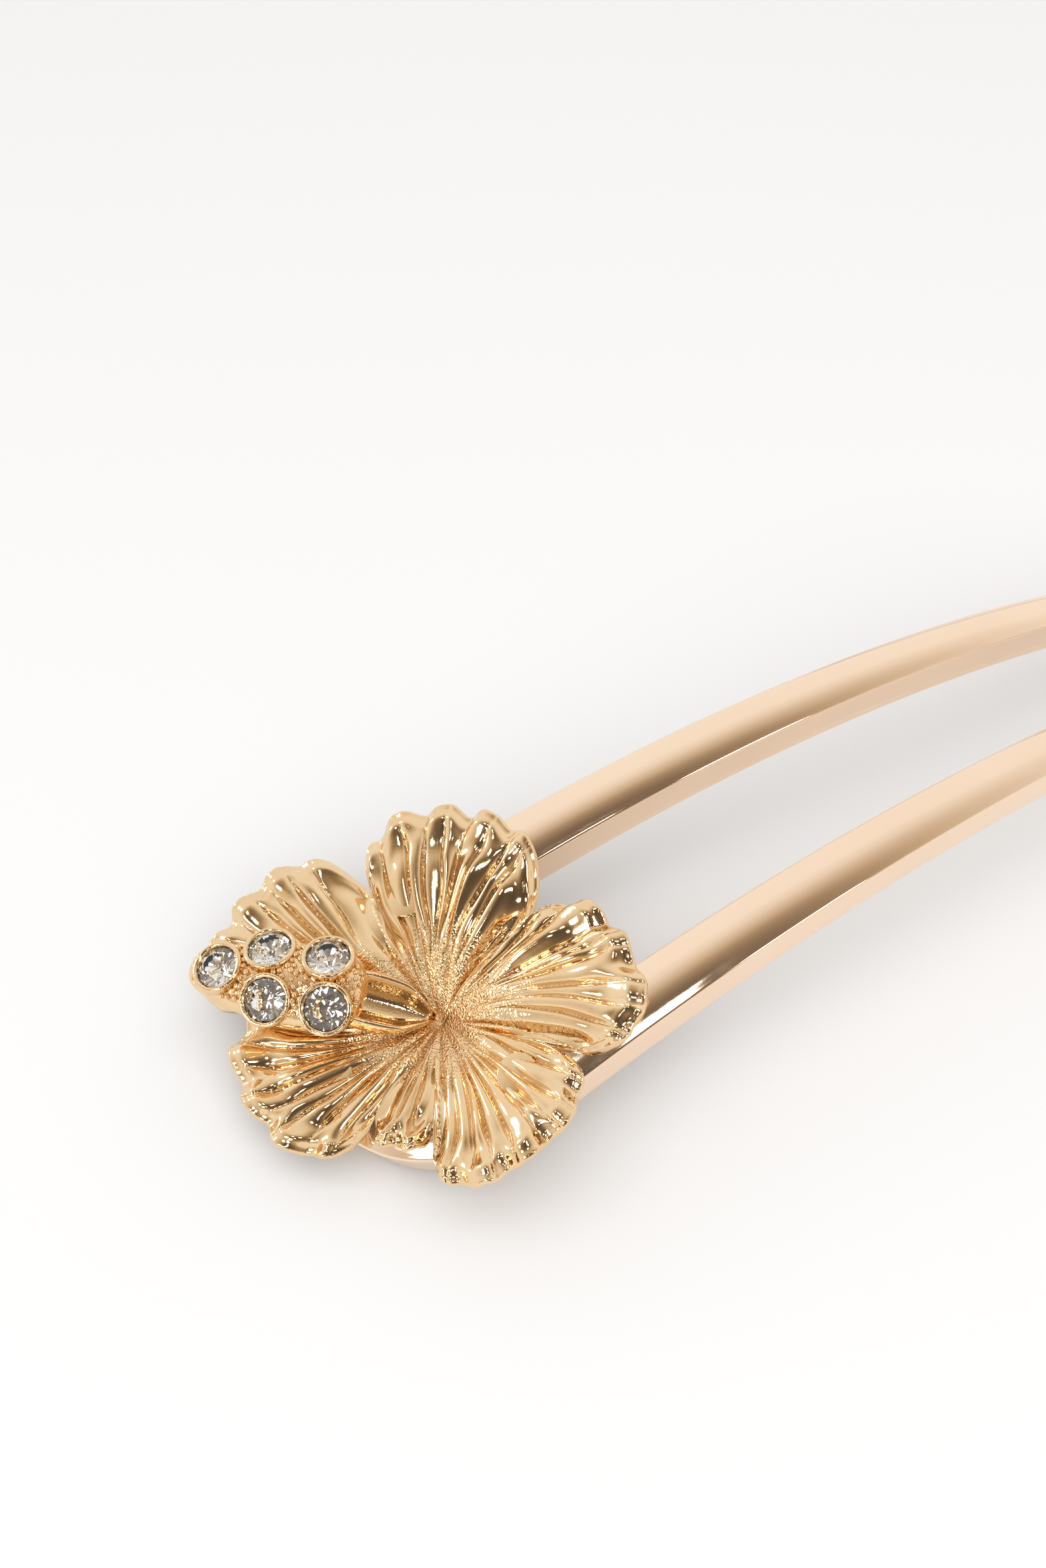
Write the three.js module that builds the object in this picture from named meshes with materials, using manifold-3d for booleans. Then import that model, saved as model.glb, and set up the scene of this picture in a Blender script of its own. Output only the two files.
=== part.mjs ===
// Decorative two-prong hair pin: an arched U-shaped fork with a cast hibiscus on its bow.
// Millimetres, +Z up. +X runs from the bow to the prong tips. The origin is the centre of the
// whole pin's footprint, on the surface that it lies on.
import * as THREE from "three";
import { mergeVertices } from "three/addons/utils/BufferGeometryUtils.js";
import Module from "manifold-3d";

const wasm = await Module();
wasm.setup();

// ---- Fork -----------------------------------------------------------------------------------
const pinLength = 101; // from the bow's end to the prong tips, along the arch
const archRadius = 115; // of the fork's underside, seen from the side
const bowWidth = 21.6; // over the outside of the bow
const barWidth = 4.8; // of the bar round the bow
const tipWidth = 2.5; // of a prong just before its rounded tip
const sideHeight = 3.1; // of the bar's upright sides
const crownHeight = 0.5; // of the domed top above the sides
const edgeRadius = 0.45; // along the underside
const bevel = 0.22; // between the sides and the top
const prongToeIn = THREE.MathUtils.degToRad(2.4); // each prong leans towards the other
const tipRounding = 4; // length over which a prong rounds off
const tipBlunting = 0.2; // share of its width and height's rounding left at the very tip
const tipHeightShare = 0.45; // of the bar's height that the rounding leaves at the tip
const barSteps = { bow: 14, prong: 16, tip: 5 }; // over one half of the bar
const restDepth = 0.45; // ground off where the fork rests, to leave flat lands

// ---- Flower ---------------------------------------------------------------------------------
const flowerSetBack = 0.7; // of its centre from the bow's centre, towards the bow's end
const flowerAcross = -0.4; // of its centre, from the fork's middle
const flowerClearance = 0.23; // of its lowest petal over the inner edge of the bar
const petalThickness = 0.9;
// Each petal's bearing and half width in degrees, and its length. Rise is how high its edge
// stands over the funnel's floor, skew makes the side at the larger bearing longer, lobes counts
// the scallops along its edge and phase turns them. The last is a small tuck between two petals.
const petals = [
  { bearing: 50, spread: 38, length: 15.5, rise: 4.7, skew: 0.06, lobes: 5.5, phase: -111 },
  { bearing: 117, spread: 33, length: 17.9, rise: 5.2, skew: 0.07, lobes: 6, phase: 43 },
  { bearing: 174, spread: 39, length: 14.6, rise: 4.4, skew: -0.1, lobes: 5, phase: 20 },
  { bearing: 273, spread: 37, length: 13.8, rise: 4.5, skew: 0.02, lobes: 5, phase: 0 },
  { bearing: 340, spread: 33, length: 15.1, rise: 4.7, skew: -0.14, lobes: 4.5, phase: -18 },
  { bearing: 225, spread: 20, length: 9.9, rise: 3.5, skew: 0, lobes: 3, phase: 180 },
];
const petalBase = 0.42; // share of its length where a petal's sides begin
const petalSquareness = 4; // above 2, how full a petal is beside its middle
const notchRadius = 6.3; // where neighbouring petals part
const lobeDepth = 0.55; // of the scallops along a petal's edge
const fluteDepth = 0.22; // of the folds that run out to the scallops
const funnelPower = 0.65; // below 1 the petals rise fast near the centre, then flatten
const seamDepth = 0.3; // of the valley between neighbouring petals, at their edge
const edgeFullness = 0.4; // below 1 the petals' edges are blunt
const petalBlend = 3; // above 0, how quickly one petal's rise gives way to its neighbour's
const flowerSteps = { around: 150, rings: 14 };

// ---- Flower's solder pads -------------------------------------------------------------------
const padRadius = 1.3;
const padHeight = 1; // of its top above the crown, inside the petals
const padBearings = [180, 76, -76]; // round the bow's centre, on the middle of the bar
const padSides = 20;
const solderThickness = 0.18;
const solderFlare = 0.35; // how far the solder spreads past the pad
const fitGap = 0.06; // between pieces that touch

// ---- Pistil ---------------------------------------------------------------------------------
const pistilBearing = 137;
const club = { near: 4.1, far: 17.0, height: 6.2, slope: 10, halfWidth: 3.0, halfDepth: 1.85 };
const clubNarrowing = 0.27; // towards the tip
const stem = { near: 0.5, far: 7.2, height: 3.6, slope: 32, halfWidth: 1.6, halfDepth: 0.75 };
const stemNarrowing = -0.45; // towards the flower's centre
const endFullness = 0.35; // below 0.5 the club's and the stem's ends are blunter than a ball's
const clubSteps = { around: 24, rings: 20 };
const stemSteps = { around: 18, rings: 14 };

// ---- Stones ---------------------------------------------------------------------------------
const stoneRadius = 1.5;
const stoneTableRadius = 0.85;
const stoneCrown = 0.5;
const stoneGirdle = 0.08;
const stonePavilion = 1.15;
const stoneSides = 16;
const cupWall = 0.35;
const cupRim = 0.16; // of the cup above the stone's girdle
const cupDepth = 1.5; // of the cup below the girdle, into the club
const cupFoot = 0.6; // share of the cup's width at its bottom
const cupTaper = 0.4; // share of its depth where it reaches its full width
const cupSides = 24;
const cementDepth = 0.3; // under the stone's point
const cementEdge = 0.15; // from the girdle down to where the cup's cone starts
const rowStagger = 0.35; // the upper stones lie this much further out, the lower ones nearer
const stoneRows = [
  { name: "rear", along: 6.5, lateral: 1.8, lean: 20, nod: -4 },
  { name: "middle", along: 10.8, lateral: 1.85, lean: 20, nod: 2 },
  { name: "tip", along: 14.5, lateral: 0, lean: 0, nod: 12 },
];

const rad = THREE.MathUtils.degToRad;
const barMid = bowWidth / 2 - barWidth / 2; // radius of the bar's middle line round the bow
const archHalfAngle = pinLength / archRadius / 2;

// ---- Tools ----------------------------------------------------------------------------------

// The geometry with position as its only attribute and each shared vertex once.
function welded(geometry) {
  const bare = geometry.clone();
  bare.deleteAttribute("normal");
  bare.deleteAttribute("uv");
  return mergeVertices(bare, 1e-5);
}

function solidOf(geometry) {
  const whole = welded(geometry);
  return new wasm.Manifold(
    new wasm.Mesh({
      numProp: 3,
      vertProperties: whole.attributes.position.array,
      triVerts: new Uint32Array(whole.index.array),
    }),
  );
}

function geometryOf(solid) {
  const mesh = solid.getMesh();
  const geometry = new THREE.BufferGeometry();
  geometry.setAttribute("position", new THREE.BufferAttribute(mesh.vertProperties, mesh.numProp));
  geometry.setIndex(new THREE.BufferAttribute(mesh.triVerts, 1));
  return geometry;
}

// Moves every vertex of a geometry to the place that a rule gives it.
function reshaped(geometry, rule) {
  const place = geometry.attributes.position;
  const vertex = new THREE.Vector3();
  for (let i = 0; i < place.count; i++) {
    vertex.fromBufferAttribute(place, i);
    vertex.copy(rule(vertex));
    place.setXYZ(i, vertex.x, vertex.y, vertex.z);
  }
  return geometry;
}

// A solid of revolution round Z from [radius, height] pairs that run upwards.
function turned(profile, sides) {
  const points = profile.map(([radius, height]) => new THREE.Vector2(radius, height));
  return new THREE.LatheGeometry(points, sides).rotateX(Math.PI / 2);
}

// ---- The arch -------------------------------------------------------------------------------

// The frame at a station along the arch: X along it, Y across, Z square to it.
function archFrame(station, across, height) {
  const angle = station / archRadius - archHalfAngle;
  const reach = archRadius + height;
  const frame = new THREE.Matrix4().makeRotationY(angle);
  frame.setPosition(
    reach * Math.sin(angle) + archRadius * Math.sin(archHalfAngle),
    across,
    reach * Math.cos(angle) - archRadius * Math.cos(archHalfAngle) - restDepth,
  );
  return frame;
}

// ---- Fork -----------------------------------------------------------------------------------

// Half of the bar's middle line lies on each side of the bow: a quarter turn and a little more,
// then a straight prong that leans inwards.
const quarter = Math.PI / 2 + prongToeIn;
const quarterLength = barMid * quarter;
const bendEnd = bowWidth / 2 + barMid * Math.sin(prongToeIn);
const prongLength = (pinLength - bendEnd) / Math.cos(prongToeIn);

// The place and heading on the middle line at a distance from the bow's end, plus on one prong
// and minus on the other.
function middleLine(distance) {
  const side = Math.sign(distance) || 1;
  const run = Math.abs(distance);
  const turn = Math.min(run, quarterLength) / barMid;
  const straight = Math.max(0, run - quarterLength);
  const station = bowWidth / 2 - barMid * Math.cos(turn) + straight * Math.sin(turn);
  const across = barMid * Math.sin(turn) + straight * Math.cos(turn);
  return { station, across: side * across, heading: side * turn };
}

function barScale(distance) {
  const along = Math.max(0, Math.abs(distance) - quarterLength) / prongLength;
  const width = THREE.MathUtils.lerp(1, tipWidth / barWidth, along);
  const intoTip = Math.abs(distance) - (quarterLength + prongLength - tipRounding);
  const roundOff = Math.max(0, intoTip) / tipRounding;
  const round = Math.sqrt(Math.max(tipBlunting ** 2, 1 - roundOff ** 2));
  return { width: width * round, height: THREE.MathUtils.lerp(tipHeightShare, 1, round) };
}

function barSection() {
  const half = barWidth / 2;
  const section = new THREE.Shape();
  section.moveTo(-half + edgeRadius, 0);
  section.lineTo(half - edgeRadius, 0);
  section.absarc(half - edgeRadius, edgeRadius, edgeRadius, -Math.PI / 2, 0);
  section.lineTo(half, sideHeight - bevel);
  section.lineTo(half - bevel, sideHeight);
  section.quadraticCurveTo(0, sideHeight + 2 * crownHeight, -half + bevel, sideHeight);
  section.lineTo(-half, sideHeight - bevel);
  section.absarc(-half + edgeRadius, edgeRadius, edgeRadius, Math.PI, 1.5 * Math.PI);
  return section;
}

// Distances along one half of the middle line: even steps round the bow and along the prong,
// then closer steps round the tip.
function halfStations() {
  const tipStart = quarterLength + prongLength - tipRounding;
  const stations = [];
  for (let i = 0; i < barSteps.bow; i++) stations.push((quarterLength * i) / barSteps.bow);
  for (let i = 0; i < barSteps.prong; i++) {
    stations.push(THREE.MathUtils.lerp(quarterLength, tipStart, i / barSteps.prong));
  }
  for (let i = 0; i <= barSteps.tip; i++) {
    stations.push(tipStart + tipRounding * Math.sin((i / barSteps.tip) * (Math.PI / 2)));
  }
  return stations;
}

function forkGeometry(lift = 0) {
  const half = halfStations();
  const stations = [...half.slice(1).reverse().map((d) => -d), ...half];
  const bar = new THREE.ExtrudeGeometry(barSection(), {
    depth: stations.length - 1,
    steps: stations.length - 1,
    bevelEnabled: false,
    curveSegments: 3,
  });
  reshaped(bar, (vertex) => {
    const distance = stations[Math.round(vertex.z)];
    const { station, across, heading } = middleLine(distance);
    const scale = barScale(distance);
    const out = vertex.x * scale.width;
    return new THREE.Vector3(0, 0, vertex.y * scale.height + lift).applyMatrix4(
      archFrame(station - out * Math.cos(heading), across + out * Math.sin(heading), 0),
    );
  });
  return bar;
}

function fork() {
  const floor = new THREE.BoxGeometry(2 * pinLength, 2 * bowWidth, 4 * restDepth);
  floor.translate(pinLength / 2, 0, -2 * restDepth);
  return solidOf(forkGeometry()).subtract(solidOf(floor));
}

// ---- Flower ---------------------------------------------------------------------------------

// The funnel hangs in the bow's opening, as low as its lowest petal clears the bar's inner edge.
const openingRadius = bowWidth / 2 - barWidth;
const lowestRise = Math.min(...petals.map((petal) => petal.rise / petal.length ** funnelPower));
const lowestUnderside = lowestRise * openingRadius ** funnelPower - petalThickness / 2;
const flowerFloor = sideHeight + flowerClearance - lowestUnderside;
const flowerFrame = archFrame(bowWidth / 2 - flowerSetBack, flowerAcross, flowerFloor);

// The petal nearest to a bearing, and how far across it that bearing lies, from -1 to 1.
function petalAt(bearing) {
  let nearest = null;
  for (const petal of petals) {
    const turn = bearing - petal.bearing;
    const off = turn - 360 * Math.round(turn / 360);
    const across = off / petal.spread;
    if (!nearest || Math.abs(across) < Math.abs(nearest.across)) nearest = { petal, across };
  }
  return nearest;
}

// Where a bearing lies on a petal's scallops, from 1 on a lobe to -1 between two.
function petalWave({ petal, across }) {
  return Math.cos(across * petal.lobes * Math.PI + rad(petal.phase));
}

function petalReach({ petal, across }) {
  const full = Math.sqrt(Math.max(0, 1 - Math.abs(across) ** petalSquareness));
  const lobes = 0.5 * lobeDepth * (petalWave({ petal, across }) - 1);
  const outline = petal.length * (petalBase + (1 - petalBase) * full) * (1 + petal.skew * across);
  return Math.max(notchRadius, outline + lobes * full);
}

// Height of the petals' middle surface, with the rise shared between neighbours.
function petalRise(bearing) {
  let sum = 0;
  let share = 0;
  for (const petal of petals) {
    const weight = Math.exp(petalBlend * Math.cos(rad(bearing - petal.bearing)));
    sum += weight * (petal.rise / petal.length ** funnelPower);
    share += weight;
  }
  return sum / share;
}

function flowerSurface(bearing, radius) {
  const { petal, across } = petalAt(bearing);
  const along = radius / petal.length;
  const fold = fluteDepth * petalWave({ petal, across }) * along;
  const edge = Math.min(1, Math.abs(across));
  const seam = -seamDepth * edge ** 4 * along;
  return petalRise(bearing) * radius ** funnelPower + fold + seam;
}

// A ball pressed flat: its top half is the upper face of the petals and its lower half the back.
function petalDisc() {
  const ball = new THREE.SphereGeometry(1, flowerSteps.around, flowerSteps.rings).rotateX(Math.PI / 2);
  return reshaped(ball, (vertex) => {
    const bearing = THREE.MathUtils.radToDeg(Math.atan2(vertex.y, vertex.x));
    const out = Math.min(1, Math.hypot(vertex.x, vertex.y));
    const radius = out * petalReach(petalAt(bearing));
    const half = (petalThickness / 2) * Math.sign(vertex.z) * Math.abs(vertex.z) ** edgeFullness;
    return new THREE.Vector3(
      radius * Math.cos(rad(bearing)),
      radius * Math.sin(rad(bearing)),
      flowerSurface(bearing, radius) + half,
    );
  });
}

// Where a pad stands on the bar: on its middle line, on top of the crown.
function padPlace(bearing) {
  const station = bowWidth / 2 + barMid * Math.cos(rad(bearing));
  return archFrame(station, barMid * Math.sin(rad(bearing)), sideHeight + crownHeight);
}

function flower() {
  let body = solidOf(petalDisc().applyMatrix4(flowerFrame));
  const bottom = solderThickness + fitGap;
  for (const bearing of padBearings) {
    const pad = turned([[0, bottom], [padRadius, bottom], [padRadius, padHeight], [0, padHeight]], padSides);
    body = body.add(solidOf(pad.applyMatrix4(padPlace(bearing))));
  }
  return body;
}

// Solder between one pad and the bar: wider at the bar, its foot shaped by the bar's crown and
// its top by the pad and the back of the petals.
function flowerSolder(bearing, castFlower) {
  const wide = padRadius + solderFlare;
  const profile = [
    [0, -crownHeight],
    [wide, -crownHeight],
    [wide, 0],
    [padRadius, solderThickness],
    [0, solderThickness],
  ];
  const blob = solidOf(turned(profile, padSides).applyMatrix4(padPlace(bearing)));
  const lowered = geometryOf(castFlower).translate(0, 0, -fitGap);
  return blob.subtract(solidOf(forkGeometry(fitGap))).subtract(solidOf(lowered));
}

// ---- Pistil ---------------------------------------------------------------------------------

const pistilFrame = flowerFrame.clone().multiply(new THREE.Matrix4().makeRotationZ(rad(pistilBearing)));

// The frame at the middle of a long body: X along it, tilted up by its slope.
function bodyFrame(body) {
  const frame = new THREE.Matrix4().makeRotationY(-rad(body.slope));
  frame.setPosition((body.near + body.far) / 2, 0, body.height);
  return pistilFrame.clone().multiply(frame);
}

function halfLength(body) {
  return (body.far - body.near) / 2 / Math.cos(rad(body.slope));
}

// Share of its full width that a long body has at a place from -1 at its near end to 1.
function girth(along, narrowing) {
  return Math.max(0, 1 - along ** 2) ** endFullness * (1 - narrowing * along);
}

function longBody(body, narrowing, steps) {
  const ball = new THREE.SphereGeometry(1, steps.around, steps.rings).rotateZ(-Math.PI / 2);
  return reshaped(ball, (vertex) => {
    const along = THREE.MathUtils.clamp(vertex.x, -1, 1);
    const turn = Math.atan2(vertex.z, vertex.y);
    const size = girth(along, narrowing);
    return new THREE.Vector3(
      along * halfLength(body),
      body.halfWidth * size * Math.cos(turn),
      body.halfDepth * size * Math.sin(turn),
    );
  }).applyMatrix4(bodyFrame(body));
}

// Height of the club's top above its own axis.
function clubTop(along, lateral) {
  const size = girth(along / halfLength(club), clubNarrowing);
  return club.halfDepth * size * Math.sqrt(1 - (lateral / (club.halfWidth * size)) ** 2);
}

// Each stone's frame has Z out of its cup and its origin in the plane of the girdle's lower edge.
function stoneFrame(row, side) {
  const stagger = row.lateral === 0 ? 0 : -side * rowStagger;
  const along = (row.along + stagger - (club.near + club.far) / 2) / Math.cos(rad(club.slope));
  const lateral = side * row.lateral;
  const frame = new THREE.Matrix4().makeTranslation(along, lateral, clubTop(along, lateral) + cupRim);
  frame.multiply(new THREE.Matrix4().makeRotationX(-side * rad(row.lean)));
  frame.multiply(new THREE.Matrix4().makeRotationY(rad(row.nod)));
  return bodyFrame(club).multiply(frame);
}

function stonePlaces() {
  const places = [];
  for (const row of stoneRows) {
    if (row.lateral === 0) {
      places.push({ name: row.name, frame: stoneFrame(row, 1) });
    } else {
      places.push({ name: "upper_" + row.name, frame: stoneFrame(row, -1) });
      places.push({ name: "lower_" + row.name, frame: stoneFrame(row, 1) });
    }
  }
  return places;
}

const cupBore = stoneRadius + fitGap;
const coneDepth = stonePavilion + cementDepth;

function coneRadius(height) {
  return cupBore * ((height + coneDepth) / (coneDepth - cementEdge));
}

function pavilionRadius(height) {
  return stoneRadius * (1 + height / stonePavilion);
}

function cup(frame) {
  const outer = cupBore + cupWall;
  const profile = [
    [0, -cupDepth],
    [cupFoot * outer, -cupDepth],
    [outer, -cupTaper * cupDepth],
    [outer, cupRim],
    [0, cupRim],
  ];
  return solidOf(turned(profile, cupSides).applyMatrix4(frame));
}

function cupCut(frame) {
  const above = stoneCrown + stoneGirdle + cupRim;
  const profile = [[0, -coneDepth], [cupBore, -cementEdge], [cupBore, above], [0, above]];
  return solidOf(turned(profile, cupSides).applyMatrix4(frame));
}

function pistil() {
  let body = solidOf(longBody(club, clubNarrowing, clubSteps));
  body = body.add(solidOf(longBody(stem, stemNarrowing, stemSteps)));
  const places = stonePlaces();
  for (const { frame } of places) body = body.add(cup(frame));
  for (const { frame } of places) body = body.subtract(cupCut(frame));
  return body;
}

// ---- Stones and their cement ----------------------------------------------------------------

function stone() {
  return turned(
    [
      [0, -stonePavilion],
      [stoneRadius, 0],
      [stoneRadius, stoneGirdle],
      [stoneTableRadius, stoneGirdle + stoneCrown],
      [0, stoneGirdle + stoneCrown],
    ],
    stoneSides,
  );
}

function cement() {
  const edge = -cementEdge - fitGap;
  return turned(
    [
      [0, -coneDepth + 1.5 * fitGap],
      [coneRadius(edge) - fitGap, edge],
      [pavilionRadius(edge) + fitGap, edge],
      [0, -stonePavilion - 1.5 * fitGap],
    ],
    stoneSides,
  );
}

// ---- The pin --------------------------------------------------------------------------------

const pin = new THREE.Group();

function finish(color, roughness, metalness) {
  return new THREE.MeshStandardMaterial({ color, roughness, metalness });
}

function add(name, geometry, material) {
  const mesh = new THREE.Mesh(geometry, material);
  mesh.name = name;
  pin.add(mesh);
}

add("fork", geometryOf(fork()), finish(0xe6bd92, 0.08, 1));
const castFlower = flower();
add("flower", geometryOf(castFlower), finish(0xe2b56f, 0.14, 1));
add("pistil", geometryOf(pistil()), finish(0xdfb069, 0.2, 1));
["bow", "far_prong", "near_prong"].forEach((name, i) => {
  add("solder_" + name, geometryOf(flowerSolder(padBearings[i], castFlower)), finish(0xb9a78c, 0.4, 1));
});
for (const { name, frame } of stonePlaces()) {
  add(name + "_stone", stone().applyMatrix4(frame), finish(0xf2f6fa, 0.02, 0));
  add(name + "_cement", cement().applyMatrix4(frame), finish(0xd9d4c4, 0.6, 0));
}

const footprint = new THREE.Box3().setFromObject(pin);
const middle = footprint.getCenter(new THREE.Vector3());
pin.position.set(-middle.x, -middle.y, -footprint.min.z);

export default pin;
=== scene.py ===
"""Looks of the decorative hair pin: an arched two-prong fork in champagne gold, with a cast
hibiscus on its bow whose pistil carries five round stones. Sizes are given in millimetres and
built in metres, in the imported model's own frame."""

import math
import random

import bmesh
import bpy
from mathutils import Matrix, Vector, noise


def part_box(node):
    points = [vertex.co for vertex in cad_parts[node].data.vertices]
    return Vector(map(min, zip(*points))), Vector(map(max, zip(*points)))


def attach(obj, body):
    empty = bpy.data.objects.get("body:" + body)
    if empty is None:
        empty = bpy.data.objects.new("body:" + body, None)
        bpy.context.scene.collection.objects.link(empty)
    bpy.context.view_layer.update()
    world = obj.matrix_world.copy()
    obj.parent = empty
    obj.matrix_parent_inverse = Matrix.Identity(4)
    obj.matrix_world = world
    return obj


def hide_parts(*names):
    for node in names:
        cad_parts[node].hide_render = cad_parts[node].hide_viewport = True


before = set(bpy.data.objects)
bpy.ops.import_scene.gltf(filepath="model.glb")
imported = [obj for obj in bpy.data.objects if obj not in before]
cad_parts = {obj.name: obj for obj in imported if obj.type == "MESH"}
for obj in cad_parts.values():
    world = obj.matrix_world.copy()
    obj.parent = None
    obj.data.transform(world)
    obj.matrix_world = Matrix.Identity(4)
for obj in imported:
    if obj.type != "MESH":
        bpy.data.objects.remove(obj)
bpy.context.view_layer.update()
MM = 0.001

# ---- Fork ------------------------------------------------------------------------------------
ARCH_RADIUS = 115.0  # of the fork's underside, seen from the side
PIN_LENGTH = 101.0  # along the arch, from the bow's end to the prong tips
BOW_WIDTH = 21.6
BAR_WIDTH = 4.8
TIP_WIDTH = 2.5
SIDE_HEIGHT = 3.1
CROWN_HEIGHT = 0.5
EDGE_RADIUS = 0.45
BEVEL = 0.22
TOE_IN = math.radians(2.4)
TIP_ROUNDING = 4.0
TIP_HEIGHT_SHARE = 0.45
REST_DEPTH = 0.45
PARTING_HEIGHT = 0.78  # of the mould's parting line up the side
PARTING_RIDGE = 0.035
PARTING_WOBBLE = 0.05
# Steps across the parting line, and how much of its ridge stands at each.
PARTING_STEPS = ((-0.1, 0.0), (-0.035, 0.3), (0.0, 1.0), (0.035, 0.3), (0.1, 0.0))
EDGE_STEPS, BEVEL_STEPS, CROWN_STEPS = 6, 7, 14
BOW_STEPS, PRONG_STEPS, TIP_STEPS = 90, 110, 18

# ---- Flower ----------------------------------------------------------------------------------
FLOWER_STATION = 10.1
FLOWER_ACROSS = -0.4
FLOWER_FLOOR = 1.31
HALF_THICKNESS = 0.45
PETAL_BASE = 0.42  # of a petal's length, where it meets its neighbour
NOTCH_RADIUS = 6.3
FUNNEL_POWER = 0.65
# Bearing, half width and lobe phase in degrees. Rise is the edge's height over the funnel's
# floor, skew lengthens the side at the larger bearing, and lobes and flutes count the scallops
# and the folds of a petal. The last is a small tuck between two petals.
PETALS = [
    dict(bearing=50, spread=38, length=15.4, rise=4.6, skew=0.06, lobes=5.5, phase=-111, flutes=10),
    dict(bearing=117, spread=33, length=17.8, rise=5.0, skew=0.07, lobes=6, phase=43, flutes=10),
    dict(bearing=174, spread=39, length=14.4, rise=4.2, skew=-0.1, lobes=5, phase=20, flutes=9),
    dict(bearing=273, spread=37, length=13.7, rise=4.4, skew=0.02, lobes=5, phase=0, flutes=10),
    dict(bearing=340, spread=33, length=15.0, rise=4.6, skew=-0.14, lobes=4.5, phase=-18, flutes=9),
    dict(bearing=225, spread=20, length=9.9, rise=3.4, skew=0.0, lobes=3, phase=180, flutes=4),
]
LOBE_DEPTH = 0.42
LOBE_SHARPNESS = 2.2
NIBBLE = 0.2  # of the edge's uneven outline
RUFFLE = 0.2  # half height of the waves that the lobes make at the edge
FLUTE_DEPTH = 0.86
BROAD_SHARE = 0.23  # number of the broad folds at the centre beside those farther out
FAN = 0.26  # how much closer to its petal's middle a flute starts than it ends
TWIST = 8.0  # degrees that the flutes turn between the centre and the edge
SWAY = 0.42  # of a flute from side to side, in flute widths
CAMBER = 1.05  # how far a petal's sides fall below its middle
SEAM_DEPTH = 0.95
OVERLAP_STEP = 0.75  # of one petal's side over its neighbour's
RIM_DROOP = 0.9
LIP = 0.2  # how far the rim stands up before it rolls over
BOWL = 0.5  # depth of the hollows inside the lobes
RIM_RADIUS = 0.3
# Shares of the way out where a change starts and is whole.
FLUTES_START, FLUTES_FADE = (0.02, 0.42), (0.76, 0.98)
BROAD_TO_FINE = (0.24, 0.5)
SIDES_FALL, LOBES_RUFFLE = (0.15, 0.75), (0.5, 0.95)
SEAM_START, STEP_START, DROOP_START = (0.03, 0.3), (0.1, 0.5), (0.82, 1)
BACK_MEETS_RIM = (0.7, 1)
# Middle and width, as shares of the way out.
BOWL_PLACE, LIP_PLACE = (0.84, 0.085), (0.945, 0.032)
FADED_FLUTES = 0.68  # share of their depth that the flutes lose at the rim
FLUTE_MIDDLE = 0.75  # height within a flute that lies on the plain petal
BACK_DEPTH = 0.975  # of the back below the plain petal
BACK_CAMBER = 0.8  # share of the sides' fall that the back follows
LEAST_WALL = 0.3
FORK_GAP = 0.12  # between the fork's crown and the backs of the petals
FORK_SOFTNESS = 0.08  # of the change to the least wall over the fork
SANDY_REACH = (0.26, 0.5)  # shares of the way out where the cast grain starts to fade and ends
BACK_GRAIN = 0.15
FRONT_RINGS, RIM_RINGS, BACK_RINGS = 76, 10, 22
RINGS = FRONT_RINGS + RIM_RINGS + BACK_RINGS
RING_CROWDING = 0.85  # below 1, the front's rings stand closer together toward the edge
AROUND = 900
PAD_RADIUS = 1.3
PAD_FLARE = 0.15
PAD_HEIGHT = 0.8
PAD_EDGE = 0.12
PAD_BEARINGS = (180, 76, -76)
SOLDER_THICKNESS = 0.24

# ---- Pistil and stones -----------------------------------------------------------------------
PISTIL_BEARING = 137
# Near and far are along the pistil from the flower's middle, and height is that of the body's
# middle over the flower's floor. Slope is in degrees, and a body narrows toward its far end.
CLUB = dict(near=4.1, far=17.0, height=6.2, slope=10, half_width=3.0, half_depth=1.85,
            narrowing=0.27, around=120, rings=90)
STEM = dict(near=-0.1, far=7.2, height=3.5, slope=31, half_width=2.15, half_depth=0.8,
            narrowing=-0.1, around=72, rings=60)
# Depth of the stem's hollow and height of its rims beside its half depth, and where the rims
# stand across it.
STEM_HOLLOW, STEM_RIM, STEM_RIM_PLACE = 2.0, 0.7, (0.8, 0.17)
END_FULLNESS = 0.35
CLUB_UNEVENNESS = 0.05
# Row, place along the pistil, distance from its middle line, and lean outward and nod in degrees.
STONE_ROWS = [
    ("rear", 6.5, 1.8, 20, -4),
    ("middle", 10.8, 1.85, 20, 2),
    ("tip", 14.5, 0.0, 0, 12),
]
ROW_STAGGER = 0.35
STONE_RADIUS = 1.5
TABLE_RADIUS = 0.85
CROWN = 0.5
CROWN_MIDDLE = 1.22  # radius of the corners between the table and the girdle
GIRDLE = 0.08
PAVILION = 1.15
PAVILION_MIDDLE = 0.5
CULET = 0.04
FACETS = 8
CUP_RIM = 0.16
CUP_WALL = 0.35
CUP_DEPTH = 1.5
CUP_STEPS = 56
# The club's skin is sunk below a stone where it lies near its axis and between these heights.
SINK_REACH, SINK_HEIGHTS, SINK_DEPTH = 0.1, (-1.2, 1.5), 0.3
BEAD_RADIUS = 0.23
BEAD_TRIES = 9000
PISTIL_GRAIN = 0.1

HALF_ANGLE = PIN_LENGTH / ARCH_RADIUS / 2
BAR_MID = (BOW_WIDTH - BAR_WIDTH) / 2

fork_low, fork_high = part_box("fork")
arch_start = Vector(
    (
        fork_low.x / MM + (SIDE_HEIGHT - BEVEL) * math.sin(HALF_ANGLE),
        (fork_low.y + fork_high.y) / 2 / MM,
        -REST_DEPTH,
    )
)


def smooth_step(low, high, value):
    share = min(1.0, max(0.0, (value - low) / (high - low)))
    return share * share * (3 - 2 * share)


def mix(a, b, share):
    return a + (b - a) * share


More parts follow.
